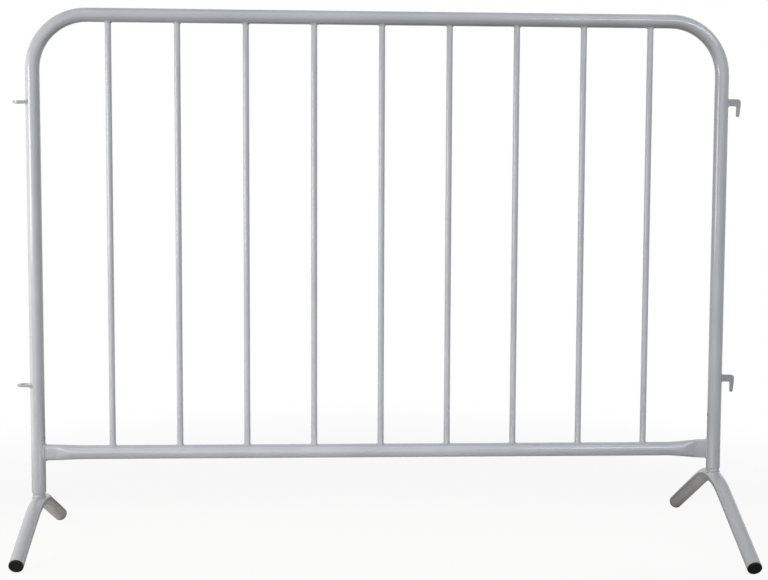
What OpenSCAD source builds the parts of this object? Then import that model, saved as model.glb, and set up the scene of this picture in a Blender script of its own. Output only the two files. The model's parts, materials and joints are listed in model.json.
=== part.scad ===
// Pedestrian barrier panel: a bent tube frame with upright bars, standing on two swivelling feet.
// Lengths are in millimetres. X runs along the panel, Y across it, and Z up from the ground.

/* [Frame] */
// Height of the top of the panel above the ground
panel_h = 1100; // [900:1:1300]
// Distance between the centre lines of the two uprights
upright_spacing = 1414; // [1200:1:2000]
// Outer diameter of the tube that the frame and the feet are bent from
tube_d = 28.6; // [26:0.1:32]
// Wall of that tube
tube_wall = 1.5; // [1.2:0.1:2.5]
// Centre line radius of the two top corners
corner_r = 110; // [60:1:135]
// Diameter of the vent hole in the inner side of each upright
vent_d = 7; // [4:0.5:10]
// Height of the vent hole above the lower end of its upright
vent_rise = 113; // [104:1:150]

/* [Bottom rail] */
// Height of the rail's centre line above the ground
rail_z = 193; // [185:1:280]
// Outer diameter of the rail
rail_d = 28.6; // [24:0.1:32]
// Wall of the rail
rail_wall = 1.5; // [1:0.1:2]
// Height of the flattened left end
rail_left_h = 33; // [30:0.5:40]
// Thickness of the flattened left end
rail_left_t = 16; // [10:0.5:22]
// Height of the flattened right end
rail_right_h = 40; // [32:0.5:44]
// Thickness of the flattened right end
rail_right_t = 6; // [5:0.5:14]
// Length of each flat
rail_flat_len = 21; // [10:1:40]
// Length of the taper between the round tube and each flat
rail_taper_len = 62; // [30:1:100]

/* [Bars] */
// Outer diameter of a bar
bar_d = 12.7; // [10:0.1:20]
// Wall of a bar
bar_wall = 1.2; // [0.8:0.1:2]
// Distance from an upright's centre line to that of the nearest bar
bar_end_gap = 152.2; // [148:0.1:190]

/* [Feet] */
// Centre line radius of the crown of each foot
crown_r = 150; // [100:1:200]
// Distance from the panel's middle plane to the end of a left leg
left_foot_reach = 197; // [160:1:260]
// Slope of the left legs, in degrees
left_leg_angle = 24.7; // [20:0.1:28]
// Distance from the panel's middle plane to the end of a right leg
right_foot_reach = 262; // [220:1:290]
// Slope of the right legs, in degrees
right_leg_angle = 28.3; // [24:0.1:31]

/* [Spigots] */
// Length of a spigot inside its upright
spigot_len = 90; // [50:1:98]
// Wall of the spigots
spigot_wall = 1.5; // [1:0.1:3]
// Radial running clearance between a spigot and its upright
spigot_clearance = 0.1; // [0.05:0.05:0.5]
// Gap between the end of an upright and the weld ring that it sits on
seat_gap = 0.3; // [0.2:0.05:0.6]

/* [Leg plugs] */
// Thickness of a plug's head
plug_head_t = 4; // [3:0.5:8]
// Rounding of the rim of a plug's head
plug_rim_r = 1.6; // [0.5:0.1:2.5]
// Length of a plug's stem
plug_stem_len = 20; // [14:1:40]
// Wall of a plug's stem
plug_stem_wall = 2; // [1.5:0.1:3]
// Thickness of each fin round a plug's stem
plug_fin_t = 1.4; // [0.8:0.1:2]
// Height of the fins above the stem
plug_fin_h = 0.8; // [0.4:0.1:1.5]
// Clearance between the fins and the leg
plug_clearance = 0.1; // [0.05:0.05:0.3]

/* [Hooks and eyes] */
// Height of the lower eye's middle above the ground
eye_z = 333; // [300:1:400]
// Distance from the top of the panel down to the upper eye's middle
upper_eye_drop = 190; // [170:1:300]
// Distance from the surface of the upright to the middle of an eye's hole
eye_out = 12.7; // [12:0.1:24]
// Width of the rim round an eye's hole
eye_rim = 6; // [4:0.5:8]
// Thickness of an eye plate
eye_t = 5; // [4:0.5:8]
// Room round a prong in an eye's hole
prong_room = 2; // [1:0.1:4]
// How far a hook stands out from the surface of its upright
hook_reach = 25.7; // [22:0.1:40]
// Thickness of a hook plate
hook_t = 6; // [4:0.5:8]
// Height of a hook's arm
hook_arm_h = 14.5; // [10:0.5:20]
// Width of a hook's prong under the arm
prong_w = 8; // [6:0.1:9]
// Width of a prong at its tip
prong_tip_w = 5.5; // [4:0.1:6]
// Length of a prong below the arm
prong_len = 22; // [16:0.5:40]
// Rounding of a hook's outer corner
hook_corner_r = 6; // [2:0.5:9]
// Rounding of a hook's inner corner
hook_fillet_r = 2.5; // [1:0.5:5]
// Gap between a hook's arm and the eye under it
coupling_clearance = 0.5; // [0.2:0.1:2]

/* [Welds] */
// Gap between a weld bead and the pieces that it joins
weld_gap = 0.1; // [0.05:0.01:0.15]
// Radius of the beads at the ends of the bars
bar_weld_r = 2.4; // [1.8:0.1:3]
// Width of the beads round the rail's ends
rail_weld_w = 3; // [2:0.1:5]
// Radius of the beads along the hooks and eyes
plate_weld_r = 2.2; // [1.5:0.1:3]
// Height of the ring round the left spigot
left_ring_rise = 6; // [3:0.1:9]
// Height of the ring round the right spigot
right_ring_rise = 3; // [2.5:0.1:6]
// Width of the ring round a spigot on the crown of its foot
spigot_weld_w = 3.5; // [2.5:0.1:6]

/* [Hidden] */
$fn = 96;

// Colours
PAINT = [0.72, 0.73, 0.75];
PAINT_SHADE = [0.64, 0.65, 0.68];
WELD = [0.58, 0.58, 0.6];
PLUG = [0.06, 0.06, 0.06];

// Counts and directions
bar_count = 9;
rail_sides = 32;
rail_taper_steps = 6;
ring_steps = 40;
plug_fin_count = 3;
LEFT = -1;
RIGHT = 1;
FRONT = -1;
BACK = 1;

// Cuts run past the faces that they open by this much
overrun = 1;

// A foot's tube swells by this much where it is bent, so that each leg runs into the bend
bend_swell = 0.05;

// The corners of a spigot's weld ring lie this much above the crown, so that its facets clear the round
ring_gap = 0.3;

// Frame
tube_r = tube_d / 2;
upright_x = upright_spacing / 2;
top_z = panel_h - tube_r;
corner_z = top_z - corner_r;
corner_x = upright_x - corner_r;
bar_pitch = (upright_spacing - 2 * bar_end_gap) / (bar_count - 1);

// Feet: each leg ends where the rounded rim of its plug just touches the ground
function leg_angle(side) = side == LEFT ? left_leg_angle : right_leg_angle;
function foot_reach(side) = side == LEFT ? left_foot_reach : right_foot_reach;
function ring_rise(side) = side == LEFT ? left_ring_rise : right_ring_rise;
function leg_end_z(side) =
    plug_rim_r
    + sin(leg_angle(side)) * (plug_head_t - plug_rim_r)
    + cos(leg_angle(side)) * (tube_r - plug_rim_r);
function leg_len(side) = (foot_reach(side) - crown_r * sin(leg_angle(side))) / cos(leg_angle(side));
function crown_z(side) =
    leg_end_z(side)
    + foot_reach(side) * tan(leg_angle(side))
    - crown_r * (1 / cos(leg_angle(side)) - 1);

// Height of the outside of the crown, with the ring's gap, above a point x, y from the upright's middle
function crown_top(side, x, y) =
    let (
        r = tube_r + bend_swell + ring_gap,
        across = crown_r + sqrt(r * r - x * x)
    )
    crown_z(side) - crown_r + sqrt(across * across - y * y);

// An upright ends just above the ring of weld that it sits on
function upright_end_z(side) = crown_top(side, 0, spigot_r + weld_gap) + ring_rise(side) + seat_gap;

// Spigots and plugs
spigot_r = tube_r - tube_wall - spigot_clearance;
fin_r = tube_r - tube_wall - plug_clearance;
stem_r = fin_r - plug_fin_h;
fin_pitch = plug_stem_len / plug_fin_count;

// Hooks hang over the eyes of the next panel
eye_hole_d = sqrt(prong_w * prong_w + hook_t * hook_t) + 2 * prong_room;
eye_w = eye_hole_d + 2 * eye_rim;
eye_centre = tube_r + eye_out;
eye_weld_end_angle = 20;
eye_weld_angle = 2 * asin(min(1, eye_w / tube_d)) - eye_weld_end_angle;
eye_heights = [eye_z, panel_h - upper_eye_drop];
hook_rise = eye_t / 2 + coupling_clearance;
hook_tip = tube_r + hook_reach;
prong_tip_r = prong_tip_w / 2;

// The ring round a spigot: how far it goes over the side of the crown, its flat top and its swell
ring_edge_share = 0.98;
ring_top_share = 0.25;
ring_swell_share = 0.1;

// A plain rod along the X axis, centred on x = 0
module rod_x(d, length) {
    rotate([0, 90, 0])
        cylinder(d = d, h = length, center = true);
}

// A solid rod along the centre line of the frame, past the lower ends by extra
module frame_path(d, extra) {
    for (side = [LEFT, RIGHT]) {
        translate([side * upright_x, 0, upright_end_z(side) - extra])
            cylinder(d = d, h = corner_z - upright_end_z(side) + extra);
        translate([side * corner_x, 0, corner_z])
            rotate([90, 0, 0])
                rotate([0, 0, side == LEFT ? 90 : 0])
                    rotate_extrude(angle = 90)
                        translate([corner_r, 0])
                            circle(d = d);
    }
    translate([0, 0, top_z])
        rod_x(d, 2 * corner_x);
}

// The hole drilled through the inner wall of one upright
module vent_hole(side) {
    translate([side * upright_x, 0, upright_end_z(side) + vent_rise])
        rotate([0, -90 * side, 0])
            cylinder(d = vent_d, h = tube_r + overrun);
}

module frame_tube() {
    color(PAINT)
        difference() {
            frame_path(tube_d, 0);
            frame_path(tube_d - 2 * tube_wall, overrun);
            vent_hole(LEFT);
            vent_hole(RIGHT);
        }
}

// Everything inside the outside of an upright, with the weld gap round it
module upright_cut(side) {
    translate([side * upright_x, 0, 0])
        cylinder(d = tube_d + 2 * weld_gap, h = panel_h);
}

// The flattened rail: a section has two half circles of radius b and reaches a above and below its middle
function smooth(t) = t * t * (3 - 2 * t);
function blend(from, to, t) = from + (to - from) * t;
function rail_end_h(side) = side == LEFT ? rail_left_h : rail_right_h;
function rail_end_t(side) = side == LEFT ? rail_left_t : rail_right_t;
function section_b(side, t) = blend(rail_d, rail_end_t(side), t) / 2;
function section_a(side, t) = blend(rail_d, rail_end_h(side), t) / 2;

// Sections from the left end to the right end: side, distance from the upright's middle, flatness
rail_end_r = tube_r + weld_gap;
function taper_at(side, i) =
    let (t = i / rail_taper_steps)
    [side, rail_end_r + rail_flat_len + rail_taper_len * t, 1 - smooth(t)];
rail_sections = concat(
    [[LEFT, 0, 1]],
    [for (i = [0 : rail_taper_steps]) taper_at(LEFT, i)],
    [for (i = [rail_taper_steps : -1 : 0]) taper_at(RIGHT, i)],
    [[RIGHT, 0, 1]]
);

// One point of a section, inset by the wall; a section at distance 0 follows the round of the upright
function rail_point(section, k, inset) =
    let (
        side = section[0],
        turn = 360 * (k + 0.5) / rail_sides,
        b = section_b(side, section[2]) - inset,
        a = section_a(side, section[2]) - inset,
        y = b * cos(turn),
        z = b * sin(turn) + (a - b) * sign(sin(turn)),
        out = section[1] > 0 ? section[1] : sqrt(rail_end_r * rail_end_r - y * y)
    )
    [side * (upright_x - out), y, rail_z + z];

function ring_quad(p, q, k, n) =
    let (m = (k + 1) % n)
    [[p * n + k, q * n + k, q * n + m], [p * n + k, q * n + m, p * n + m]];

module bottom_rail() {
    n = rail_sides;
    last = len(rail_sections) - 1;
    outer = [for (s = rail_sections) for (k = [0 : n - 1]) rail_point(s, k, 0)];
    inner = [for (s = rail_sections) for (k = [0 : n - 1]) rail_point(s, k, rail_wall)];
    first_inner = last + 1;
    loop = concat(
        [for (i = [0 : last - 1]) [i, i + 1]],
        [[last, first_inner + last]],
        [for (i = [last : -1 : 1]) [first_inner + i, first_inner + i - 1]],
        [[first_inner, 0]]
    );
    faces = [for (pair = loop) for (k = [0 : n - 1]) each ring_quad(pair[0], pair[1], k, n)];
    color(PAINT)
        polyhedron(concat(outer, inner), faces);
}

function bar_x(i) = -upright_x + bar_end_gap + i * bar_pitch;

module top_rail_cut() {
    translate([0, 0, top_z])
        rod_x(tube_d + 2 * weld_gap, upright_spacing);
}

module bottom_rail_cut() {
    translate([0, 0, rail_z])
        rod_x(rail_d + 2 * weld_gap, upright_spacing);
}

// One infill bar, counted from the left, with both ends shaped to the rails
module bar(i) {
    color(PAINT_SHADE)
        difference() {
            translate([bar_x(i), 0, rail_z])
                cylinder(d = bar_d, h = top_z - rail_z);
            translate([bar_x(i), 0, rail_z])
                cylinder(d = bar_d - 2 * bar_wall, h = top_z - rail_z);
            top_rail_cut();
            bottom_rail_cut();
        }
}

// Rings of weld round the bars, sunk to the middle of the saddle that each bar makes with a rail
module bar_rings(axis_z, rail_r, side) {
    saddle = rail_r - sqrt(rail_r * rail_r - bar_d * bar_d / 4);
    for (i = [0 : bar_count - 1])
        translate([bar_x(i), 0, axis_z + side * (rail_r - saddle / 2)])
            difference() {
                rotate_extrude()
                    translate([bar_d / 2, 0])
                        circle(r = bar_weld_r);
                cylinder(d = bar_d + 2 * weld_gap, h = 2 * (bar_weld_r + overrun), center = true);
            }
}

module bar_top_welds() {
    color(WELD)
        difference() {
            bar_rings(top_z, tube_r, -1);
            top_rail_cut();
        }
}

module bar_bottom_welds() {
    color(WELD)
        difference() {
            bar_rings(rail_z, rail_d / 2, 1);
            bottom_rail_cut();
        }
}

// A flat shape with half round ends, w wide and h high
module stadium(w, h) {
    square([w, h - w], center = true);
    for (end = [-1, 1])
        translate([0, end * (h - w) / 2])
            circle(d = w);
}

module rail_end_weld(side) {
    w = rail_end_t(side);
    h = rail_end_h(side);
    difference() {
        translate([side * upright_x, 0, rail_z])
            rotate([90, 0, -90 * side])
                linear_extrude(tube_r + rail_weld_w)
                    difference() {
                        stadium(w + 2 * rail_weld_w, h + 2 * rail_weld_w);
                        stadium(w + 2 * weld_gap, h + 2 * weld_gap);
                    }
        upright_cut(side);
    }
}

module rail_end_welds() {
    color(WELD) {
        rail_end_weld(LEFT);
        rail_end_weld(RIGHT);
    }
}

// One eye plate on the left upright, with its middle at height z
module eye(z) {
    color(PAINT_SHADE)
        difference() {
            translate([-upright_x, 0, z - eye_t / 2])
                linear_extrude(eye_t)
                    difference() {
                        union() {
                            translate([-eye_centre, 0])
                                circle(d = eye_w);
                            translate([-eye_centre, -eye_w / 2])
                                square([eye_centre, eye_w]);
                        }
                        translate([-eye_centre, 0])
                            circle(d = eye_hole_d);
                    }
            upright_cut(LEFT);
        }
}

module eye_upper() {
    eye(eye_heights[1]);
}

module eye_lower() {
    eye(eye_heights[0]);
}

// Beads above and below each eye, along the round of the upright
module eye_welds() {
    color(WELD)
        for (z = eye_heights)
            difference() {
                for (face = [-1, 1])
                    translate([-upright_x, 0, z + face * eye_t / 2])
                        rotate([0, 0, 180 - eye_weld_angle / 2])
                            rotate_extrude(angle = eye_weld_angle)
                                translate([tube_r, 0])
                                    circle(r = plate_weld_r);
                upright_cut(LEFT);
                translate([-upright_x - eye_centre, -eye_w, z - eye_t / 2 - weld_gap])
                    cube([eye_centre, 2 * eye_w, eye_t + 2 * weld_gap]);
            }
}

// Side view of a hook: out from the upright's middle, and up from the underside of the arm
module hook_outline() {
    prong_in = hook_tip - prong_w;
    // Arm with its rounded outer corner
    square([hook_tip - hook_corner_r, hook_arm_h]);
    square([hook_tip, hook_arm_h - hook_corner_r]);
    translate([hook_tip - hook_corner_r, hook_arm_h - hook_corner_r])
        circle(r = hook_corner_r);
    // Prong with its round tip
    polygon([
        [prong_in, 0],
        [prong_in, prong_tip_r - prong_len],
        [prong_in + prong_tip_w, prong_tip_r - prong_len],
        [hook_tip, 0]
    ]);
    translate([prong_in + prong_tip_r, prong_tip_r - prong_len])
        circle(r = prong_tip_r);
    // Fillet between them
    difference() {
        translate([prong_in - hook_fillet_r, -hook_fillet_r])
            square(hook_fillet_r);
        translate([prong_in - hook_fillet_r, -hook_fillet_r])
            circle(r = hook_fillet_r);
    }
}

// One hook plate on the right upright, for an eye with its middle at height z
module hook(z) {
    color(PAINT_SHADE)
        difference() {
            translate([upright_x, hook_t / 2, z + hook_rise])
                rotate([90, 0, 0])
                    linear_extrude(hook_t)
                        hook_outline();
            upright_cut(RIGHT);
        }
}

module hook_upper() {
    hook(eye_heights[1]);
}

module hook_lower() {
    hook(eye_heights[0]);
}

// Upright beads in the two corners that each hook makes with the upright
module hook_welds() {
    color(WELD)
        for (z = eye_heights)
            difference() {
                for (face = [FRONT, BACK])
                    translate([upright_x + tube_r, face * hook_t / 2, z + hook_rise])
                        cylinder(r = plate_weld_r, h = hook_arm_h);
                upright_cut(RIGHT);
                translate([upright_x, -hook_t / 2 - weld_gap, z + hook_rise - overrun])
                    cube([hook_tip, hook_t + 2 * weld_gap, hook_arm_h + 2 * overrun]);
            }
}

// Puts its children at the middle of a foot's crown bend, with their Y axis running out along one leg
module leg_frame(side, face) {
    mirror([0, face == FRONT ? 1 : 0, 0])
        translate([side * upright_x, 0, crown_z(side) - crown_r])
            rotate([-leg_angle(side), 0, 0])
                children();
}

// A solid rod along the centre line of a foot, past both ends by extra; each leg starts inside the bend
module foot_path(side, d, extra) {
    angle = leg_angle(side);
    translate([side * upright_x, 0, crown_z(side) - crown_r])
        rotate([90, 0, 90])
            rotate([0, 0, 90 - angle])
                rotate_extrude(angle = 2 * angle)
                    translate([crown_r, 0])
                        circle(d = d + 2 * bend_swell);
    for (face = [FRONT, BACK])
        leg_frame(side, face)
            translate([0, -overrun, crown_r])
                rotate([-90, 0, 0])
                    cylinder(d = d, h = leg_len(side) + overrun + extra);
}

module foot_tube(side) {
    color(PAINT)
        difference() {
            foot_path(side, tube_d, 0);
            foot_path(side, tube_d - 2 * tube_wall, overrun);
        }
}

module left_foot_tube() {
    foot_tube(LEFT);
}

module right_foot_tube() {
    foot_tube(RIGHT);
}

// The short tube that stands on the crown of a foot and plugs into the upright
module spigot(side) {
    length = upright_end_z(side) + spigot_len - crown_z(side);
    color(PAINT_SHADE)
        difference() {
            translate([side * upright_x, 0, crown_z(side)])
                cylinder(r = spigot_r, h = length);
            translate([side * upright_x, 0, crown_z(side)])
                cylinder(r = spigot_r - spigot_wall, h = length + overrun);
            foot_path(side, tube_d + 2 * weld_gap, 0);
        }
}

module left_spigot() {
    spigot(LEFT);
}

module right_spigot() {
    spigot(RIGHT);
}

// Corners of the weld ring's section at one turn round the spigot, as distance out and height
function ring_section(side, turn) =
    let (
        c = cos(turn),
        s = sin(turn),
        r_in = spigot_r + weld_gap,
        edge = ring_edge_share * tube_r,
        reach = spigot_r + spigot_weld_w,
        r_side = edge / max(abs(c), edge / reach),
        r_mid = (r_in + r_side) / 2,
        r_top = blend(r_in, r_side, ring_top_share),
        swell = spigot_weld_w * ring_swell_share,
        z_in = crown_top(side, r_in * c, r_in * s),
        z_mid = crown_top(side, r_mid * c, r_mid * s),
        z_out = crown_top(side, r_side * c, r_side * s),
        z_top = z_in + ring_rise(side)
    )
    [
        [r_in, z_in],
        [r_mid, z_mid],
        [r_side, z_out],
        [(r_top + r_side) / 2 + swell, (z_top + z_out) / 2 + swell],
        [r_top, z_top],
        [r_in, z_top]
    ];

// The ring of weld that follows the saddle between a spigot and the crown of its foot
module spigot_weld(side) {
    n = len(ring_section(side, 0));
    turns = [for (i = [0 : ring_steps - 1]) 360 * i / ring_steps];
    points = [
        for (turn = turns)
            for (p = ring_section(side, turn))
                [side * upright_x + p[0] * cos(turn), p[0] * sin(turn), p[1]]
    ];
    faces = [
        for (i = [0 : ring_steps - 1])
            for (k = [0 : n - 1])
                each ring_quad(i, (i + 1) % ring_steps, k, n)
    ];
    color(WELD)
        polyhedron(points, faces);
}

module left_spigot_weld() {
    spigot_weld(LEFT);
}

module right_spigot_weld() {
    spigot_weld(RIGHT);
}

// Half section of a plug: a head with a rounded rim, and a hollow stem with fins
module plug_section() {
    translate([0, -plug_head_t])
        square([tube_r - plug_rim_r, plug_head_t]);
    translate([0, plug_rim_r - plug_head_t])
        square([tube_r, plug_head_t - plug_rim_r]);
    translate([tube_r - plug_rim_r, plug_rim_r - plug_head_t])
        circle(r = plug_rim_r);
    translate([stem_r - plug_stem_wall, 0])
        square([plug_stem_wall, plug_stem_len]);
    for (i = [1 : plug_fin_count])
        translate([stem_r - plug_stem_wall, i * fin_pitch - plug_fin_t])
            square([plug_stem_wall + plug_fin_h, plug_fin_t]);
}

// A plug with its head against the end of a leg and its stem inside the leg
module plug(side, face) {
    color(PLUG)
        leg_frame(side, face)
            translate([0, leg_len(side), crown_r])
                rotate([90, 0, 0])
                    rotate_extrude()
                        plug_section();
}

module left_front_plug() {
    plug(LEFT, FRONT);
}

module left_back_plug() {
    plug(LEFT, BACK);
}

module right_front_plug() {
    plug(RIGHT, FRONT);
}

module right_back_plug() {
    plug(RIGHT, BACK);
}

frame_tube();
bottom_rail();
for (i = [0 : bar_count - 1])
    bar(i);
eye_upper();
eye_lower();
hook_upper();
hook_lower();
left_foot_tube();
right_foot_tube();
left_spigot();
right_spigot();
left_front_plug();
left_back_plug();
right_front_plug();
right_back_plug();
bar_top_welds();
bar_bottom_welds();
rail_end_welds();
eye_welds();
hook_welds();
left_spigot_weld();
right_spigot_weld();
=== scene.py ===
import json
import math
import random

import bmesh
import bpy
from bpy.props import FloatProperty, FloatVectorProperty, PointerProperty
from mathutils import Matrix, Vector


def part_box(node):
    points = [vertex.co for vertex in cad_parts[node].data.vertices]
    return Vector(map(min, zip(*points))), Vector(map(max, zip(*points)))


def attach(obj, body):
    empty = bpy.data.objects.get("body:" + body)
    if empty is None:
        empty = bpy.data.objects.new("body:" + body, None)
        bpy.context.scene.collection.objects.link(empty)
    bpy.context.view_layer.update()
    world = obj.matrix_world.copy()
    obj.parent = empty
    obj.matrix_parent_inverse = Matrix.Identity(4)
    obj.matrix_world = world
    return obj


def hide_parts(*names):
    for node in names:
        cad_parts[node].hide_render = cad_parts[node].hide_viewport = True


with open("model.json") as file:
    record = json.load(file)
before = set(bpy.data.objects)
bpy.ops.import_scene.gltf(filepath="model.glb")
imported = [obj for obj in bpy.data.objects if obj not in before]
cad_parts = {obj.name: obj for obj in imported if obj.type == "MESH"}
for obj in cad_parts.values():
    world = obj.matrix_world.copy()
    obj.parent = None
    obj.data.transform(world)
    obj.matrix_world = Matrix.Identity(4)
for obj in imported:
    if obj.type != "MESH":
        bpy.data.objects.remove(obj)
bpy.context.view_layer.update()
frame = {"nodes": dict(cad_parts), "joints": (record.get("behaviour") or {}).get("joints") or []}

bl_info = {
    "name": "Pedestrian Barrier Panel",
    "version": (1, 0, 0),
    "blender": (4, 5, 0),
    "location": "View3D > Sidebar > Barrier",
    "description": "Rail, hooks, eyes, weld beads, finishes and studio of a barrier panel",
    "category": "Object",
}

MM = 0.001
LEFT, RIGHT = -1, 1


def middle_of(node):
    """The middle of a node's box."""
    low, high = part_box(node)
    return (low + high) / 2


# Places taken from the frame, in metres
UPRIGHT_X = frame["joints"][1]["pos_m"][0]
FRAME_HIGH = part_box("frame_tube")[1]
TUBE_RADIUS = FRAME_HIGH.x - UPRIGHT_X
TOP_RAIL_Z = FRAME_HIGH.z - TUBE_RADIUS
RAIL_Z = middle_of("bottom_rail").z

# Nodes of the frame, by kind
BAR_NODES = [f"bar_{number}" for number in range(1, 10)]
EYE_NODES = ["eye_upper", "eye_lower"]
HOOK_NODES = ["hook_upper", "hook_lower"]
FOOT_NODES = ["left_foot_tube", "right_foot_tube"]
SPIGOT_NODES = ["left_spigot", "right_spigot"]
PLUG_NODES = ["left_front_plug", "left_back_plug", "right_front_plug", "right_back_plug"]

CORNER_RADIUS = 110 * MM  # centre line of the bends between the top rail and the uprights
# The uprights' bores are painted dark as shade up to this height.
BORE_TOP = TOP_RAIL_Z - CORNER_RADIUS - 40 * MM  # how far up the uprights' bores are dark
SAME = 0.02 * MM  # lengths that differ by less than this are the same
MERGE = 0.005 * MM  # corners that are closer than this become one
CUT_SIDES = 128  # corners round a rod that cuts a hole or a hollow
PLATE_ANGLE = 35  # edges of the plates that turn more than this stay sharp, in degrees

BEAD_ANGLE = 70  # the same for the edges of weld beads
BEAD_SIDES = 12  # corners of a ring of a weld bead
RIPPLE_STEPS = 4  # rings from one ripple of a bead to the next
STAND_OFF = 0.2  # share of a bead's radius by which its middle stands off a surface
SWELL = 0.04  # share of its radius by which a bead swells and shrinks
SWELL_RATE = 180.0  # turns of the swells' waves along a bead, in radians per metre
END_SHARE = 0.12  # share of an open bead that narrows towards each end
END_SIZE = 0.08  # share of the radius that is left at its very end


def length(name, description, default):
    """A property for a length in metres."""
    return FloatProperty(name=name, description=description, default=default, min=0.0, precision=4,
                         subtype="DISTANCE", unit="LENGTH")


def colour(name, description, default):
    """A property for a linear colour."""
    return FloatVectorProperty(name=name, description=description, default=default, size=3,
                               min=0.0, max=1.0, subtype="COLOR")


def share(name, description, default):
    """A property for a share between none and all."""
    return FloatProperty(name=name, description=description, default=default, min=0.0, max=1.0,
                         subtype="FACTOR")


class BarrierFinishSettings(bpy.types.PropertyGroup):
    """Colours and gloss of the paint and the plugs."""

    paint: colour("Paint", "Light grey gloss paint on all the steel", (0.495, 0.503, 0.530))
    dust: colour("Dust", "Dust and dried splashes low on the feet", (0.30, 0.265, 0.22))
    # Painted shade: the bores' colour is far darker than bare steel, as the shade inside the tubes
    # over their unpainted steel.
    bore_steel_and_shade: colour("Bore", "Dark bare steel inside the uprights", (0.018, 0.016, 0.015))
    steel: colour("Bare steel", "Steel where the paint has rubbed off", (0.24, 0.235, 0.23))
    plug: colour("Plugs", "Black moulded plastic of the leg plugs", (0.010, 0.010, 0.011))
    plug_scuff: colour("Plug scuffs", "Grey scuffs where the plugs stand", (0.075, 0.073, 0.070))
    gloss_roughness: share("Paint roughness", "Roughness of clean paint", 0.34)
    coat_roughness: share("Coat roughness", "Roughness of the clear top of the paint", 0.14)
    dust_height: length("Dust height", "How far up the feet the dust reaches", 0.16)


class BarrierRailSettings(bpy.types.PropertyGroup):
    """Sizes of the bottom rail and its pressed ends."""

    radius: length("Rail radius", "Outer radius of the round part", 0.0143)
    left_height: length("Left end height", "Height of the pressed left end", 0.033)
    left_thickness: length("Left end thickness", "Thickness of the pressed left end", 0.016)
    right_height: length("Right end height", "Height of the pressed right end", 0.040)
    right_thickness: length("Right end thickness", "Thickness of the pressed right end", 0.006)
    flat: length("Flat length", "Length of each pressed flat", 0.021)
    taper: length("Taper length", "Length of the taper behind each flat", 0.062)
    press: length("Press length", "How far from the upright the press flattened the rail", 0.024)
    crease: length("Crease length", "Length over which the flat swells into the round", 0.034)


class BarrierPlateSettings(bpy.types.PropertyGroup):
    """Sizes of the hooks and eyes."""

    eye_hole: length("Eye hole radius", "Radius of the hole in an eye", 0.007)
    arm_height: length("Hook arm height", "Height of a hook's arm", 0.0145)
    prong_width: length("Prong width", "Width of a prong under the arm", 0.008)
    prong_tip: length("Prong tip width", "Width of a prong at its tip", 0.0055)
    corner: length("Hook corner", "Rounding of a hook's outer corner", 0.006)
    fillet: length("Hook fillet", "Rounding between the arm and the prong", 0.0025)
    edge: length("Edge rounding", "Rounding of the plates' painted edges", 0.0007)


class BarrierWeldSettings(bpy.types.PropertyGroup):
    """Sizes of the weld beads."""

    bar: length("Bar bead", "Radius of the beads round the bars", 0.0014)
    rail: length("Rail bead", "Radius of the beads round the rail's ends", 0.0024)
    plate: length("Plate bead", "Radius of the beads of hooks and eyes", 0.0020)
    spigot: length("Spigot bead", "Radius of the beads round the spigots", 0.0027)
    pitch: length("Ripple pitch", "Distance from one ripple to the next", 0.0021)
    ripple: share("Ripple height", "Height of a ripple as a share of the radius", 0.08)
    crown: length("Crown radius", "Centre line radius of a foot's bend", 0.150)


class BarrierStageSettings(bpy.types.PropertyGroup):
    """Floor, lamps and camera."""

    floor: colour("Floor", "Pale floor", (0.84, 0.78, 0.71))
    fill: colour("Fill", "Soft light from all round", (0.080, 0.088, 0.106))
    camera_place: FloatVectorProperty(name="Camera place", description="Where the camera stands",
                                      default=(-0.12207, -2.53113, 0.71060), size=3,
                                      subtype="TRANSLATION", unit="LENGTH")
    camera_turn: FloatVectorProperty(name="Camera turn", description="How the camera is turned",
                                     default=[math.radians(a) for a in (85.9113, -0.2309, -2.8775)],
                                     size=3, subtype="EULER", unit="ROTATION")
    camera_lens: FloatProperty(name="Camera lens", description="Focal length on a 36 mm sensor",
                               default=57.422, subtype="DISTANCE_CAMERA", unit="CAMERA")


class Value:
    """A socket in a node tree. Sums and products of numbers on it add their Math nodes."""

    def __init__(self, tree, socket):
        self.tree = tree
        self.socket = socket

    def math(self, operation, first, second):
        return self.tree.node("ShaderNodeMath", {"operation": operation}, {0: first, 1: second})

    def __add__(self, other):
        return self.math("ADD", self, other)

    def __radd__(self, other):
        return self.math("ADD", other, self)

    def __sub__(self, other):
        return self.math("SUBTRACT", self, other)

    def __rsub__(self, other):
        return self.math("SUBTRACT", other, self)

    def __mul__(self, other):
        return self.math("MULTIPLY", self, other)

    def __rmul__(self, other):
        return self.math("MULTIPLY", other, self)


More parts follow.
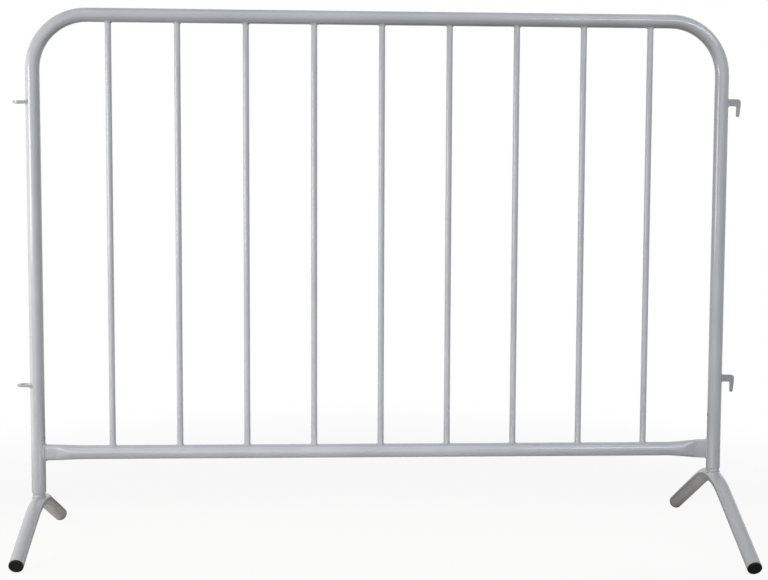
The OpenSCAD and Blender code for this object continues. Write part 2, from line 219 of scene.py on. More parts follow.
class Tree:
    """A node tree that is written as expressions."""

    def __init__(self, nodes, links):
        self.nodes = nodes
        self.links = links

    def node(self, kind, settings, sockets, output=0):
        """Adds a node, sets it up, fills or links its sockets, and returns one of its outputs."""
        made = self.nodes.new(kind)
        for name, value in settings.items():
            setattr(made, name, value)
        for name, value in sockets.items():
            if isinstance(value, Value):
                self.links.new(value.socket, made.inputs[name])
            else:
                made.inputs[name].default_value = value
        return Value(self, made.outputs[output]) if made.outputs else None

    def mix(self, factor, first, second):
        """Mixes two colours, whose sockets on a Mix node have the numbers 6, 7 and 2."""
        settings = {"data_type": "RGBA", "clamp_factor": True}
        return self.node("ShaderNodeMix", settings, {0: factor, 6: first, 7: second}, output=2)

    def noise(self, place, scale, detail=2.0):
        """Soft cloudy noise between 0 and 1."""
        sockets = {"Vector": place, "Scale": scale, "Detail": detail}
        return self.node("ShaderNodeTexNoise", {}, sockets)

    def between(self, value, low, high, start=0.0, end=1.0):
        """Goes smoothly from start to end as the value goes from low to high."""
        settings = {"interpolation_type": "SMOOTHSTEP", "clamp": True}
        sockets = {"Value": value, 1: low, 2: high, 3: start, 4: end}
        return self.node("ShaderNodeMapRange", settings, sockets)

    def stretched(self, place, scale, turn=(0.0, 0.0, 0.0)):
        """The same place with its axes stretched and turned."""
        sockets = {"Vector": place, "Scale": scale, "Rotation": turn}
        return self.node("ShaderNodeMapping", {}, sockets)

    def place(self):
        """The place on the object."""
        return self.node("ShaderNodeTexCoord", {}, {}, output="Object")

    def axis(self, place, name):
        """One axis of a place."""
        return self.node("ShaderNodeSeparateXYZ", {}, {"Vector": place}, output=name)

    def reach(self, place):
        """How far a place is from the origin."""
        settings = {"operation": "LENGTH"}
        return self.node("ShaderNodeVectorMath", settings, {0: place}, output="Value")

    def bump(self, height, distance):
        """A normal for a surface whose height of 1 stands for a distance in metres."""
        sockets = {"Strength": 1.0, "Distance": distance, "Height": height}
        return self.node("ShaderNodeBump", {}, sockets)


def new_material(name):
    """An empty material and its tree."""
    material = bpy.data.materials.new(name)
    material.use_nodes = True
    material.node_tree.nodes.clear()
    return material, Tree(material.node_tree.nodes, material.node_tree.links)


def shaded(tone, by=1.0):
    """A colour made lighter or darker, as a socket takes it."""
    return (*[part * by for part in tone], 1.0)


def put_shader(tree, constants, sockets):
    """Adds the main shader and sends it to the surface."""
    shader = tree.node("ShaderNodeBsdfPrincipled", {}, {**constants, **sockets})
    tree.node("ShaderNodeOutputMaterial", {}, {"Surface": shader})


def scuffed(tree, place, wear):
    """Long fine scuffs in two directions, kept to a few patches."""
    patches = tree.between(tree.noise(place, 11.0), 0.52, 0.68)
    along = tree.noise(tree.stretched(place, (60.0, 900.0, 900.0), (0.0, 0.3, 0.2)), 1.0)
    across = tree.noise(tree.stretched(place, (900.0, 900.0, 45.0), (0.2, 0.0, 0.0)), 1.0)
    lines = tree.between(along, 0.66, 0.74) + tree.between(across, 0.66, 0.74)
    return tree.between(lines * patches * wear, 0.0, 1.0)


def chipped(tree, place, wear):
    """Small chips through to the steel."""
    spots = tree.node("ShaderNodeTexVoronoi", {"feature": "F1"}, {"Vector": place, "Scale": 75.0})
    chance = tree.between(tree.noise(place, 23.0, 1.0), 0.66, 0.72)
    return (1 - tree.between(spots, 0.05, 0.09)) * chance * wear


def inside_uprights(tree, place, height):
    """1 inside the bores of the two uprights and 0 on their painted outside."""
    across = tree.axis(place, "Y")
    out = tree.node("ShaderNodeMath", {"operation": "ABSOLUTE"}, {0: tree.axis(place, "X")})
    out = out - UPRIGHT_X
    to_axis = tree.node("ShaderNodeMath", {"operation": "SQRT"}, {0: out * out + across * across})
    # This mask carries the painted shade inside the bores.
    bore_steel_and_shade = 1 - tree.between(to_axis, TUBE_RADIUS - 0.7 * MM, TUBE_RADIUS - 0.3 * MM)
    return bore_steel_and_shade * (1 - tree.between(height, BORE_TOP, BORE_TOP + 10 * MM))


def gloss_paint(name, settings, wear, rough=0.0, painted_light_scale=1.0, bead=False, hollow=False):
    """Sprayed gloss paint with orange peel, clouds, scuffs, chips and dust near the ground. Its
    colour is scaled darker or lighter as painted shade and painted light, and hollow uprights get
    painted shade in their bores.
    """
    material, tree = new_material(name)
    place = tree.place()
    height = tree.axis(place, "Z")
    clouds = tree.noise(place, 7.0, 3.0)
    mottle = tree.noise(place, 90.0)
    peel = tree.noise(place, 520.0, 1.0)
    scuffs = scuffed(tree, place, wear)
    chips = chipped(tree, place, wear)
    low_down = 1 - tree.between(height, 0.0, settings.dust_height)
    dusty = low_down * tree.between(clouds + mottle * 0.35, 0.42, 0.95) * 0.30

    # The paint's colour is scaled here: below 1 as painted shade, above 1 as painted light.
    paint = [part * painted_light_scale for part in settings.paint]
    tone = tree.mix(tree.between(clouds, 0.3, 0.7), shaded(paint, 0.94), shaded(paint, 1.05))
    if bead:
        # Darker patches at random over the weld beads.
        dark_bead_patches = tree.between(tree.noise(place, 420.0), 0.45, 0.75)
        tone = tree.mix(dark_bead_patches * 0.28, tone, shaded(paint, 0.62))
    tone = tree.mix(scuffs * 0.5, tone, shaded(paint, 0.72))
    tone = tree.mix(chips, tone, shaded(settings.steel))
    tone = tree.mix(dusty, tone, shaded(settings.dust))
    # Painted shade: the inside of the uprights' bores is painted near black, as shade over bare
    # steel.
    if hollow:
        tone = tree.mix(inside_uprights(tree, place, height), tone, shaded(settings.bore_steel_and_shade))

    roughness = (settings.gloss_roughness + rough) + mottle * 0.06 + scuffs * 0.25 + dusty * 0.35
    coat = tree.between(dusty + scuffs + chips, 0.0, 1.0, 0.85, 0.0)
    surface = peel * 0.25 + mottle * 0.15 - scuffs * 0.4 - chips * 4.0
    put_shader(tree, {"IOR": 1.5, "Specular IOR Level": 0.2,
                      "Coat Roughness": settings.coat_roughness, "Coat IOR": 1.65},
               {"Base Color": tone, "Roughness": roughness, "Coat Weight": coat,
                "Normal": tree.bump(surface, 0.004 * MM)})
    return material


def moulded_plastic(name, settings):
    """Black moulded plastic with a fine grain, greyed where it stands on the ground."""
    material, tree = new_material(name)
    place = tree.place()
    grain = tree.noise(place, 1400.0)
    clouds = tree.noise(place, 60.0, 3.0)
    near_ground = 1 - tree.between(tree.axis(place, "Z"), 0.0, 7 * MM)
    worn = near_ground * tree.between(clouds, 0.35, 0.65)
    streaks = tree.noise(tree.stretched(place, (1500.0, 120.0, 1500.0)), 1.0)
    scuffs = tree.between(streaks, 0.62, 0.72) * 0.35
    tone = tree.mix(tree.between(worn * 0.8 + scuffs, 0.0, 1.0),
                    shaded(settings.plug), shaded(settings.plug_scuff))
    roughness = 0.42 + clouds * 0.15 + worn * 0.25
    put_shader(tree, {"IOR": 1.45, "Specular IOR Level": 0.2},
               {"Base Color": tone, "Roughness": roughness,
                "Normal": tree.bump(grain + scuffs * 2.0, 0.03 * MM)})
    return material


def deselect_all():
    """Back to object mode with nothing selected."""
    if bpy.context.object and bpy.context.object.mode != "OBJECT":
        bpy.ops.object.mode_set(mode="OBJECT")
    bpy.ops.object.select_all(action="DESELECT")


def choose(piece):
    """Selects one piece alone and makes it the active one."""
    deselect_all()
    piece.select_set(True)
    bpy.context.view_layer.objects.active = piece


def take_new(name):
    """Names the object that was just added and puts its place, turn and scale into its mesh."""
    piece = bpy.context.object
    piece.name = name
    piece.data.name = name
    bpy.ops.object.transform_apply(location=True, rotation=True, scale=True)
    return piece


def start_piece(name, add, **sizes):
    """Adds a primitive as a new object with its place in its mesh."""
    deselect_all()
    add(**sizes)
    return take_new(name)


def edit(piece):
    """Opens a piece in edit mode."""
    choose(piece)
    bpy.ops.object.mode_set(mode="EDIT")


def pick(test, kind="VERT"):
    """Selects the corners, edges or faces of the opened piece whose middle passes the test."""
    mesh = bpy.context.edit_object.data
    bpy.ops.mesh.select_mode(type=kind)
    bpy.ops.mesh.select_all(action="DESELECT")
    shape = bmesh.from_edit_mesh(mesh)
    found = False
    for item in {"VERT": shape.verts, "EDGE": shape.edges, "FACE": shape.faces}[kind]:
        if kind == "VERT":
            middle = item.co
        else:
            middle = sum((corner.co for corner in item.verts), Vector()) / len(item.verts)
        if test(middle, item):
            item.select_set(True)
            found = True
    if not found:
        raise RuntimeError("nothing to select in " + mesh.name)
    shape.select_flush_mode()
    bmesh.update_edit_mesh(mesh)


def near(a, b):
    """Whether two lengths are the same but for rounding."""
    return abs(a - b) < SAME


def runs_along(edge, axis):
    """Whether an edge runs along the axis with that number."""
    step = edge.verts[1].co - edge.verts[0].co
    return abs(step[axis]) > 0.99 * step.length


def apply_modifier(piece, name, kind, **settings):
    """Adds a modifier, sets it and applies it."""
    choose(piece)
    modifier = piece.modifiers.new(name, kind)
    for setting, value in settings.items():
        setattr(modifier, setting, value)
    bpy.ops.object.modifier_apply(modifier=modifier.name)


def cut_round(piece, radius, place, depth):
    """Cuts a round rod that stands upright out of a piece."""
    cutter = start_piece("cutter", bpy.ops.mesh.primitive_cylinder_add, vertices=CUT_SIDES,
                         radius=radius, depth=depth, location=place)
    apply_modifier(piece, "cut", "BOOLEAN", object=cutter, operation="DIFFERENCE", solver="EXACT")
    bpy.data.objects.remove(cutter)


def close_up(piece, angle):
    """Merges doubles, turns the faces outwards and smooths edges that turn less than the angle."""
    edit(piece)
    bpy.ops.mesh.select_all(action="SELECT")
    bpy.ops.mesh.remove_doubles(threshold=MERGE)
    bpy.ops.mesh.normals_make_consistent(inside=False)
    choose(piece)
    bpy.ops.object.shade_smooth_by_angle(angle=math.radians(angle))


def finish_plate(piece, edge):
    """Rounds a plate's edges and keeps its wide flats flat."""
    apply_modifier(piece, "edges", "BEVEL", width=edge, segments=3, limit_method="ANGLE",
                   angle_limit=math.radians(PLATE_ANGLE))
    close_up(piece, PLATE_ANGLE)
    apply_modifier(piece, "flats", "WEIGHTED_NORMAL", mode="FACE_AREA", weight=100,
                   keep_sharp=True)


def hand_over(piece, body, slot, material, *nodes):
    """Gives a piece its finish, the body that it rides on and the nodes that it stands for."""
    piece.data.materials.clear()
    piece.data.materials.append(material)
    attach(piece, body)
    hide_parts(*nodes)


def copy_piece(piece, name, shift):
    """A copy with a mesh of its own, moved by shift."""
    choose(piece)
    bpy.ops.object.duplicate(linked=False)
    bpy.ops.transform.translate(value=shift)
    return take_new(name)


def rippled(points, radius, settings, seed, closed):
    """Stations of a bead along points: middle, direction and radius, with ripples and swells."""
    draw = random.Random(seed)
    phases = [draw.uniform(0.0, math.tau) for _ in range(3)]
    stations = []
    last = len(points) - 1
    run = 0.0
    for number, point in enumerate(points):
        ahead = points[(number + 1) % len(points)] if closed or number < last else point
        behind = points[number - 1] if closed or number > 0 else point
        ripple = abs(math.sin(math.pi * run / settings.pitch))
        swell = sum(math.sin(run * SWELL_RATE * (k + 1) + phase) / (k + 2)
                    for k, phase in enumerate(phases))
        size = radius if isinstance(radius, float) else radius[number]
        size *= 1.0 - settings.ripple + settings.ripple * ripple + SWELL * swell
        if not closed:
            inward = min(1.0, min(number, last - number) / last / END_SHARE)
            rounded = math.sqrt(max(0.0, 1.0 - (1.0 - inward) ** 2))
            size *= rounded * (1.0 - END_SIZE) + END_SIZE
        stations.append((point, (ahead - behind).normalized(), size))
        run += (ahead - point).length
    return stations


def ring_of(edge):
    """The number of the ring that an edge of a bead lies in, or none between two rings."""
    first, second = (corner.index // BEAD_SIDES for corner in edge.verts)
    return first if first == second else None


def lay_bead(name, stations, closed):
    """Draws a ring at each station and bridges each to the next."""
    deselect_all()
    for number, (point, along, radius) in enumerate(stations):
        turn = along.to_track_quat("Z", "Y").to_euler()
        bpy.ops.mesh.primitive_circle_add(vertices=BEAD_SIDES, radius=radius, location=point,
                                          rotation=turn, fill_type="NOTHING")
        if number == 0:
            bead = take_new(name)
            bpy.ops.object.mode_set(mode="EDIT")
    count = len(stations)
    for number in range(count if closed else count - 1):
        rings = {number, (number + 1) % count}
        pick(lambda middle, edge: ring_of(edge) in rings, "EDGE")
        bpy.ops.mesh.bridge_edge_loops()
    if not closed:
        for end in (0, count - 1):
            pick(lambda middle, edge: ring_of(edge) == end, "EDGE")
            bpy.ops.mesh.edge_face_add()
    close_up(bead, BEAD_ANGLE)
    return bead


def evenly(path, samples, closed, pitch):
    """Points evenly along a path that is given as a function of a share from 0 to 1."""
    rough = [path(k / samples) for k in range(samples + 1)]
    steps = [(b - a).length for a, b in zip(rough, rough[1:])]
    whole = sum(steps)
    count = max(2, round(whole / pitch)) * RIPPLE_STEPS
    points = []
    done, k = 0.0, 0
    for number in range(count if closed else count + 1):
        goal = whole * number / count
        while k < len(steps) - 1 and done + steps[k] < goal:
            done += steps[k]
            k += 1
        part = (goal - done) / steps[k] if steps[k] else 0.0
        points.append(rough[k].lerp(rough[k + 1], min(1.0, part)))
    return points


class BARRIER_OT_finishes(bpy.types.Operator):
    """Makes the paint and plastic, and dresses the tubes, bars, spigots and plugs"""

    bl_idname = "barrier.finishes"
    bl_label = "Paint and Plastic"

    def execute(self, context):
        settings = context.scene.barrier_finish
        gloss_paint("silver_grey_rail_paint", settings, wear=0.35)
        # Hooks and eyes take the same paint darkened to 0.70, as painted shade.
        gloss_paint("silver_grey_plate_paint", settings, wear=0.2, rough=0.12, painted_light_scale=0.70)
        gloss_paint("painted_weld_bead", settings, wear=0.5, rough=0.08, bead=True)
        # The frame's paint has painted shade inside the uprights' bores.
        frame_paint = gloss_paint("silver_grey_frame_paint", settings, wear=0.35, hollow=True)
        foot_paint = gloss_paint("silver_grey_foot_paint", settings, wear=0.6)
        # The bars take the same paint lightened by 1.06, as painted light.
        bar_paint_in_painted_light = gloss_paint("silver_grey_bar_paint", settings, wear=0.3, painted_light_scale=1.06)
        spigot_paint = gloss_paint("rubbed_spigot_paint", settings, wear=1.0, rough=0.12)
        plastic = moulded_plastic("black_plug_plastic", settings)
        for names, material in ((["frame_tube"], frame_paint), (FOOT_NODES, foot_paint),
                                (BAR_NODES, bar_paint_in_painted_light), (SPIGOT_NODES, spigot_paint),
                                (PLUG_NODES, plastic)):
            for name in names:
                frame["nodes"][name].material_slots[0].material = material
        return {"FINISHED"}


class BARRIER_OT_bottom_rail(bpy.types.Operator):
    """Models the bottom rail, round in the middle and pressed flat at its ends"""

    bl_idname = "barrier.bottom_rail"
    bl_label = "Bottom Rail"

    sides = 64
    taper_steps = 26
    taper_power = 1.25
    start_share = 0.90  # share of an end's extra height where its taper starts
    smooth_angle = 40
    cut_depth = 0.1

    def section(self, settings, side, out):
        """Half thickness and half height of the rail at a distance from the upright's middle."""
        radius = settings.radius
        end_height = (settings.left_height if side == LEFT else settings.right_height) / 2
        end_thick = (settings.left_thickness if side == LEFT else settings.right_thickness) / 2
        flat_end = TUBE_RADIUS + settings.flat
        along = (out - flat_end) / settings.taper
        if along <= 0.0:
            extra = self.start_share + (1.0 - self.start_share) * (flat_end - out) / settings.flat
            return end_thick, radius + (end_height - radius) * extra
        extra = self.start_share * max(0.0, 1.0 - along) ** self.taper_power
        crease = min(1.0, max(0.0, (out - TUBE_RADIUS - settings.press) / settings.crease))
        half_thick = end_thick + (radius - end_thick) * math.sin(math.pi / 2 * crease)
        return half_thick, radius + (end_height - radius) * extra

    def execute(self, context):
        settings = context.scene.barrier_rail
        flat_end = TUBE_RADIUS + settings.flat
        # Sections from inside the upright along the flat, and then along the taper
        outs = [0.3 * TUBE_RADIUS, TUBE_RADIUS + settings.flat * 0.4, flat_end - 1.5 * MM]
        outs += [flat_end + settings.taper * (step / self.taper_steps)
                 for step in range(self.taper_steps + 1)]
        stations = [(LEFT, out) for out in outs] + [(RIGHT, out) for out in reversed(outs)]
        xs = [side * (UPRIGHT_X - out) for side, out in stations]
        rail = start_piece("bottom_rail_pressed", bpy.ops.mesh.primitive_circle_add,
                           vertices=self.sides, radius=settings.radius, fill_type="NOTHING",
                           location=(xs[0], 0.0, RAIL_Z), rotation=(0.0, math.pi / 2, 0.0))
        edit(rail)
        bpy.ops.mesh.select_all(action="SELECT")
        bpy.ops.transform.rotate(value=math.pi / self.sides, orient_axis="X",
                                 center_override=(xs[0], 0.0, RAIL_Z))
        for here, there in zip(xs, xs[1:]):
            step = {"value": (there - here, 0.0, 0.0)}
            bpy.ops.mesh.extrude_region_move(TRANSFORM_OT_translate=step)
        for (side, out), x in zip(stations, xs):
            half_thick, half_height = self.section(settings, side, out)
            pick(lambda middle, corner: near(middle.x, x))
            thin = half_thick / settings.radius
            bpy.ops.transform.resize(value=(1.0, thin, thin), center_override=(x, 0.0, RAIL_Z))
            for up in (-1, 1):
                pick(lambda middle, corner: near(middle.x, x) and (middle.z - RAIL_Z) * up > 0.0)
                bpy.ops.transform.translate(value=(0.0, 0.0, up * (half_height - half_thick)))
        for x in (xs[0], xs[-1]):
            pick(lambda middle, edge: all(near(corner.co.x, x) for corner in edge.verts), "EDGE")
            bpy.ops.mesh.edge_face_add()
        bpy.ops.mesh.select_all(action="SELECT")
        bpy.ops.mesh.normals_make_consistent(inside=False)
        for side in (LEFT, RIGHT):
            cut_round(rail, TUBE_RADIUS, (side * UPRIGHT_X, 0.0, RAIL_Z), self.cut_depth)
        close_up(rail, self.smooth_angle)
        paint = bpy.data.materials["silver_grey_rail_paint"]
        hand_over(rail, "panel", "paint", paint, "bottom_rail")
        return {"FINISHED"}


class BARRIER_OT_bar_welds(bpy.types.Operator):
    """Models the bead round a bar's end once for each rail and copies it to every bar"""

    bl_idname = "barrier.bar_welds"
    bl_label = "Bar Welds"

    ring_share = 0.25  # share of its radius by which a bead's ring is wider than the bar
    samples = 96

    def execute(self, context):
        settings = context.scene.barrier_weld
        rail = context.scene.barrier_rail
        paint = bpy.data.materials["painted_weld_bead"]
        places = [middle_of(name) for name in BAR_NODES]
        low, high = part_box(BAR_NODES[0])
        ring = (high.x - low.x) / 2 + self.ring_share * settings.bar
        for end, axis_z, radius, up, seed in (("top", TOP_RAIL_Z, TUBE_RADIUS, -1, 11),
                                              ("bottom", RAIL_Z, rail.radius, 1, 23)):
            def path(part):
                turn = math.tau * part
                across = ring * math.sin(turn)
                z = axis_z + up * math.sqrt((radius + STAND_OFF * settings.bar) ** 2 - across ** 2)
                return Vector((places[0].x + ring * math.cos(turn), across, z))

            points = evenly(path, self.samples, True, settings.pitch)
            stations = rippled(points, settings.bar, settings, seed, True)
            first = lay_bead(f"bar_{end}_bead_1", stations, True)
            beads = [first]
            for number, place in enumerate(places[1:], 2):
                shift = (place.x - places[0].x, 0.0, 0.0)
                beads.append(copy_piece(first, f"bar_{end}_bead_{number}", shift))
            for bead in beads:
                hand_over(bead, "panel", "weld", paint, f"bar_{end}_welds")
        return {"FINISHED"}


class BARRIER_OT_rail_welds(bpy.types.Operator):
    """Models the beads between the rail's pressed ends and the uprights"""

    bl_idname = "barrier.rail_welds"
    bl_label = "Rail End Welds"

    ring_share = 0.1  # share of its radius by which a bead's ring is wider than the rail's end
    samples = 240

    def execute(self, context):
        settings = context.scene.barrier_weld
        rail = context.scene.barrier_rail
        paint = bpy.data.materials["painted_weld_bead"]
        for side, name, tall, thick, seed in (
                (LEFT, "left", rail.left_height, rail.left_thickness, 31),
                (RIGHT, "right", rail.right_height, rail.right_thickness, 37)):
            round_r = thick / 2 + self.ring_share * settings.rail
            straight = tall - thick
            arc = math.pi * round_r
            whole = 2 * (straight + arc)

            def path(part):
                run = (part * whole) % whole
                lower = run >= whole / 2
                run -= whole / 2 if lower else 0.0
                if run < straight:
                    y, z = round_r, run - straight / 2
                else:
                    turn = (run - straight) / round_r
                    y, z = round_r * math.cos(turn), straight / 2 + round_r * math.sin(turn)
                if lower:
                    y, z = -y, -z
                out = math.sqrt((TUBE_RADIUS + STAND_OFF * settings.rail) ** 2 - y * y)
                return Vector((side * (UPRIGHT_X - out), y, RAIL_Z + z))

            points = evenly(path, self.samples, True, settings.pitch)
            stations = rippled(points, settings.rail, settings, seed, True)
            bead = lay_bead(f"rail_{name}_end_bead", stations, True)
            hand_over(bead, "panel", "weld", paint, "rail_end_welds")
        return {"FINISHED"}


class BARRIER_OT_eyes(bpy.types.Operator):
    """Models one eye plate with its two beads, and copies them to the other height"""

    bl_idname = "barrier.eyes"
    bl_label = "Eyes"

    round_segments = 28  # faces round each half of an eye's outer end
    cut_depth = 0.05
    bead_half_turn = math.radians(56)
    samples = 80

    def execute(self, context):
        plates = context.scene.barrier_plate
        settings = context.scene.barrier_weld
        low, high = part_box(EYE_NODES[0])
        middle = (low + high) / 2
        half_w = (high.y - low.y) / 2
        thick = high.z - low.z
        hole_x = low.x + half_w
        eye = start_piece("eye_upper_plate", bpy.ops.mesh.primitive_cube_add, size=1.0,
                          location=((low.x - UPRIGHT_X) / 2, 0.0, middle.z),
                          scale=(-UPRIGHT_X - low.x, 2 * half_w, thick))
        edit(eye)
        pick(lambda place, edge: near(place.x, low.x) and runs_along(edge, 2), "EDGE")
        bpy.ops.mesh.bevel(offset=half_w - SAME, segments=self.round_segments, affect="EDGES")
        deselect_all()
        cut_round(eye, plates.eye_hole, (hole_x, 0.0, middle.z), self.cut_depth)
        cut_round(eye, TUBE_RADIUS, (-UPRIGHT_X, 0.0, middle.z), self.cut_depth)
        finish_plate(eye, plates.edge)

        beads = []
        for level, up, seed in (("top", 1, 41), ("under", -1, 43)):
            def path(part):
                turn = math.pi + self.bead_half_turn * (2 * part - 1)
                ring = TUBE_RADIUS + STAND_OFF * settings.plate
                z = middle.z + up * (thick / 2 + STAND_OFF * settings.plate)
                return Vector((-UPRIGHT_X + ring * math.cos(turn), ring * math.sin(turn), z))

            points = evenly(path, self.samples, False, settings.pitch)
            stations = rippled(points, settings.plate, settings, seed, False)
            beads.append((level, lay_bead(f"eye_upper_{level}_bead", stations, False)))

        shift = (0.0, 0.0, middle_of(EYE_NODES[1]).z - middle.z)
        # The eyes' paint is darkened as painted shade.
        plate_paint_in_painted_shade = bpy.data.materials["silver_grey_plate_paint"]
        bead_paint = bpy.data.materials["painted_weld_bead"]
        lower_eye = copy_piece(eye, "eye_lower_plate", shift)
        hand_over(eye, "panel", "paint", plate_paint_in_painted_shade, "eye_upper")
        hand_over(lower_eye, "panel", "paint", plate_paint_in_painted_shade, "eye_lower")
        for level, bead in beads:
            twin = copy_piece(bead, f"eye_lower_{level}_bead", shift)
            for piece in (bead, twin):
                hand_over(piece, "panel", "weld", bead_paint, "eye_welds")
        return {"FINISHED"}


class BARRIER_OT_hooks(bpy.types.Operator):
    """Models one hook plate with its bead, and copies them to the other height"""

    bl_idname = "barrier.hooks"
    bl_label = "Hooks"

    tip_rounding = 0.47  # share of a prong's tip that each of its corners takes
    tip_segments, corner_segments, fillet_segments = 8, 12, 8
    cut_depth = 0.1
    bead_share = 0.85  # size of a hook's bead beside an eye's
    samples, seed = 160, 53

    def execute(self, context):
        plates = context.scene.barrier_plate
        settings = context.scene.barrier_weld
        low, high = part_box(HOOK_NODES[0])
        thick = high.y - low.y
        tip_x, top_z = high.x, high.z
        under_z = top_z - plates.arm_height
        inner_x = tip_x - plates.prong_width
        hook = start_piece("hook_upper_plate", bpy.ops.mesh.primitive_cube_add, size=1.0,
                           location=((UPRIGHT_X + tip_x) / 2, 0.0, (under_z + top_z) / 2),
                           scale=(tip_x - UPRIGHT_X, thick, plates.arm_height))
        edit(hook)
        bpy.ops.mesh.select_all(action="SELECT")
        bpy.ops.mesh.bisect(plane_co=(inner_x, 0.0, 0.0), plane_no=(1.0, 0.0, 0.0))
        pick(lambda place, face: near(place.z, under_z) and place.x > inner_x, "FACE")
        step = {"value": (0.0, 0.0, low.z - under_z)}
        bpy.ops.mesh.extrude_region_move(TRANSFORM_OT_translate=step)
        pick(lambda place, corner: near(place.z, low.z) and near(place.x, tip_x))
        bpy.ops.transform.translate(value=(plates.prong_tip - plates.prong_width, 0.0, 0.0))
        pick(lambda place, edge: near(place.z, low.z) and runs_along(edge, 1), "EDGE")
        bpy.ops.mesh.bevel(offset=self.tip_rounding * plates.prong_tip,
                           segments=self.tip_segments, affect="EDGES")
        for x, z, offset, segments in (
                (tip_x, top_z, plates.corner, self.corner_segments),
                (inner_x, under_z, plates.fillet, self.fillet_segments)):
            pick(lambda place, edge: near(place.x, x) and near(place.z, z) and runs_along(edge, 1),
                 "EDGE")
            bpy.ops.mesh.bevel(offset=offset, segments=segments, affect="EDGES")
        deselect_all()
        cut_round(hook, TUBE_RADIUS, (UPRIGHT_X, 0.0, under_z), self.cut_depth)
        finish_plate(hook, plates.edge)

        half_t = thick / 2
        corners = [(-half_t, under_z), (-half_t, top_z), (half_t, top_z), (half_t, under_z)]
        sides = [math.dist(a, b) for a, b in zip(corners, corners[1:] + corners[:1])]

        def path(part):
            run = (part % 1.0) * sum(sides)
            k = 0
            while run > sides[k] and k < len(sides) - 1:
                run -= sides[k]
                k += 1
            (y0, z0), (y1, z1) = corners[k], corners[(k + 1) % len(corners)]
            y = y0 + (y1 - y0) * run / sides[k]
            z = z0 + (z1 - z0) * run / sides[k]
            out = math.sqrt((TUBE_RADIUS + STAND_OFF * settings.plate) ** 2 - y * y)
            return Vector((UPRIGHT_X + out, y, z))

        points = evenly(path, self.samples, True, settings.pitch)
        stations = rippled(points, self.bead_share * settings.plate, settings, self.seed, True)
        bead = lay_bead("hook_upper_bead", stations, True)

        shift = (0.0, 0.0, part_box(HOOK_NODES[1])[1].z - top_z)
        # The hooks' paint is darkened as painted shade.
        plate_paint_in_painted_shade = bpy.data.materials["silver_grey_plate_paint"]
        bead_paint = bpy.data.materials["painted_weld_bead"]
        lower_hook = copy_piece(hook, "hook_lower_plate", shift)
        lower_bead = copy_piece(bead, "hook_lower_bead", shift)
        hand_over(hook, "panel", "paint", plate_paint_in_painted_shade, "hook_upper")
        hand_over(lower_hook, "panel", "paint", plate_paint_in_painted_shade, "hook_lower")
        for piece in (bead, lower_bead):
            hand_over(piece, "panel", "weld", bead_paint, "hook_welds")
        return {"FINISHED"}


class BARRIER_OT_spigot_welds(bpy.types.Operator):
    """Models the bead in the saddle between each spigot and the crown of its foot"""

    bl_idname = "barrier.spigot_welds"
    bl_label = "Spigot Welds"

    side_share = 0.5  # size of the bead at the sides of the saddle beside its ends
    lift = 0.15  # share of its radius by which the bead's middle stands above the crown
    side_off, end_more = 0.05, 0.15  # how far it stands off at the sides, and more at the ends
    samples = 120

    def execute(self, context):
        settings = context.scene.barrier_weld
        paint = bpy.data.materials["painted_weld_bead"]
        for side, name, seed in ((LEFT, "left", 61), (RIGHT, "right", 67)):
            low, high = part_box(f"{name}_spigot")
            spigot_r = (high.x - low.x) / 2
            crown_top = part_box(f"{name}_foot_tube")[1].z
            bend_z = crown_top - TUBE_RADIUS - settings.crown

            def path(part):
                turn = math.tau * part
                off = self.side_off + self.end_more * math.sin(turn) ** 2
                ring = spigot_r + settings.spigot * off
                x, y = ring * math.cos(turn), ring * math.sin(turn)
                across = settings.crown + math.sqrt(TUBE_RADIUS ** 2 - x * x)
                z = bend_z + math.sqrt(across ** 2 - y * y) + self.lift * settings.spigot
                return Vector((side * UPRIGHT_X + x, y, z))

            points = evenly(path, self.samples, True, settings.pitch)
            sizes = []
            for point in points:
                lengthwise = min(1.0, (point.y / spigot_r) ** 2)
                size_share = self.side_share + (1.0 - self.side_share) * lengthwise
                sizes.append(settings.spigot * size_share)
            stations = rippled(points, sizes, settings, seed, True)
            bead = lay_bead(f"{name}_spigot_bead", stations, True)
            hand_over(bead, f"{name}_foot", "weld", paint, f"{name}_spigot_weld")
        return {"FINISHED"}


